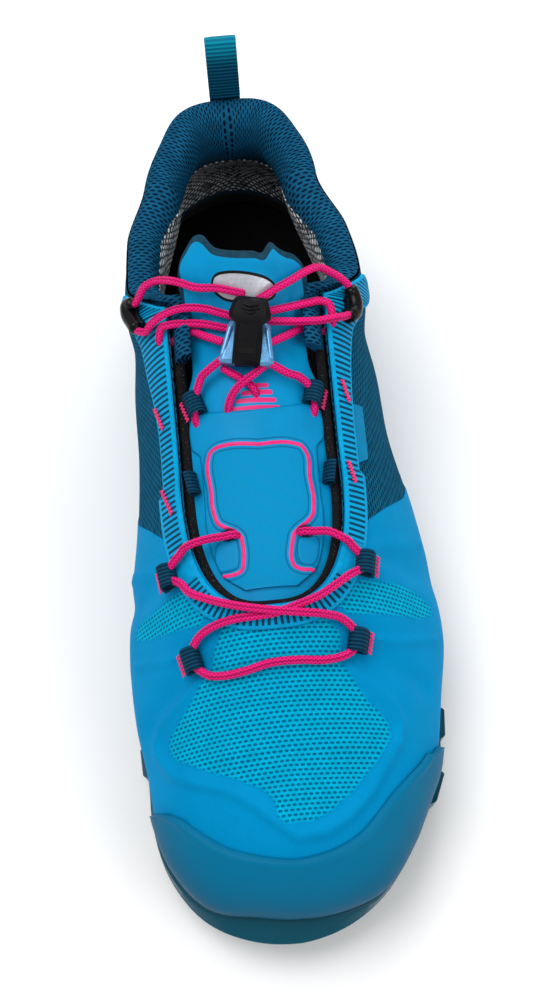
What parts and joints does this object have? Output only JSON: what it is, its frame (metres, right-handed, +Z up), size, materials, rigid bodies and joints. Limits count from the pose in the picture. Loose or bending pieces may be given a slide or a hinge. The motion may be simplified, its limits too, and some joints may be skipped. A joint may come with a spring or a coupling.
{
  "type": "trail running shoe",
  "caption": "Low-cut trail running shoe with a lugged sole, ribbed foam midsole, padded collar, striped lace band, lace flap and a cord lock.",
  "frame": {"origin": "on the floor under the middle of the sole's outline", "axes": "+Z up, -Y to the toe, +X to the outer (lateral) side of the left foot"},
  "size_m": [0.1067, 0.2873, 0.1178],
  "materials": {
    "rubber": "satin, glossy at the toe",
    "foam": "matt foam",
    "lining": "knitted",
    "overlay": "mesh and smooth film overlay",
    "tape": "striped woven tape",
    "knit": "knitted",
    "webbing": "ribbed webbing",
    "lace": "braided",
    "plastic": "moulded",
    "pale_plastic": "metallic lacquer"
  },
  "bodies": {
    "root": {"outsole": "rubber", "toe_cap": "rubber", "midsole": "foam", "insole": "lining", "upper": "overlay", "tongue": "overlay", "tongue_flap": "overlay", "eyestay": "tape", "collar_padding": "knit", "pull_loop": "webbing", "hook_inner": "plastic", "hook_outer": "plastic", "lock_slider": "plastic", "lock_housing": "pale_plastic", "loop_front_inner": "webbing", "loop_front_outer": "webbing", "loop_mid_inner": "webbing", "loop_mid_outer": "webbing", "loop_lock_inner": "webbing", "loop_lock_outer": "webbing", "loop_flap_inner": "webbing", "loop_flap_outer": "webbing", "lace_bar": "lace", "lace_cross": "lace", "lace_top_inner": "lace", "lace_second_inner": "lace", "lace_third_inner": "lace", "lace_fourth_inner": "lace", "lace_top_outer": "lace", "lace_second_outer": "lace", "lace_third_outer": "lace", "lace_fourth_outer": "lace", "lace_side_inner": "lace", "lace_side_outer": "lace", "lace_turn_inner": "lace", "lace_turn_outer": "lace", "lace_end_inner": "lace", "lace_end_outer": "lace"}
  },
  "joints": []
}
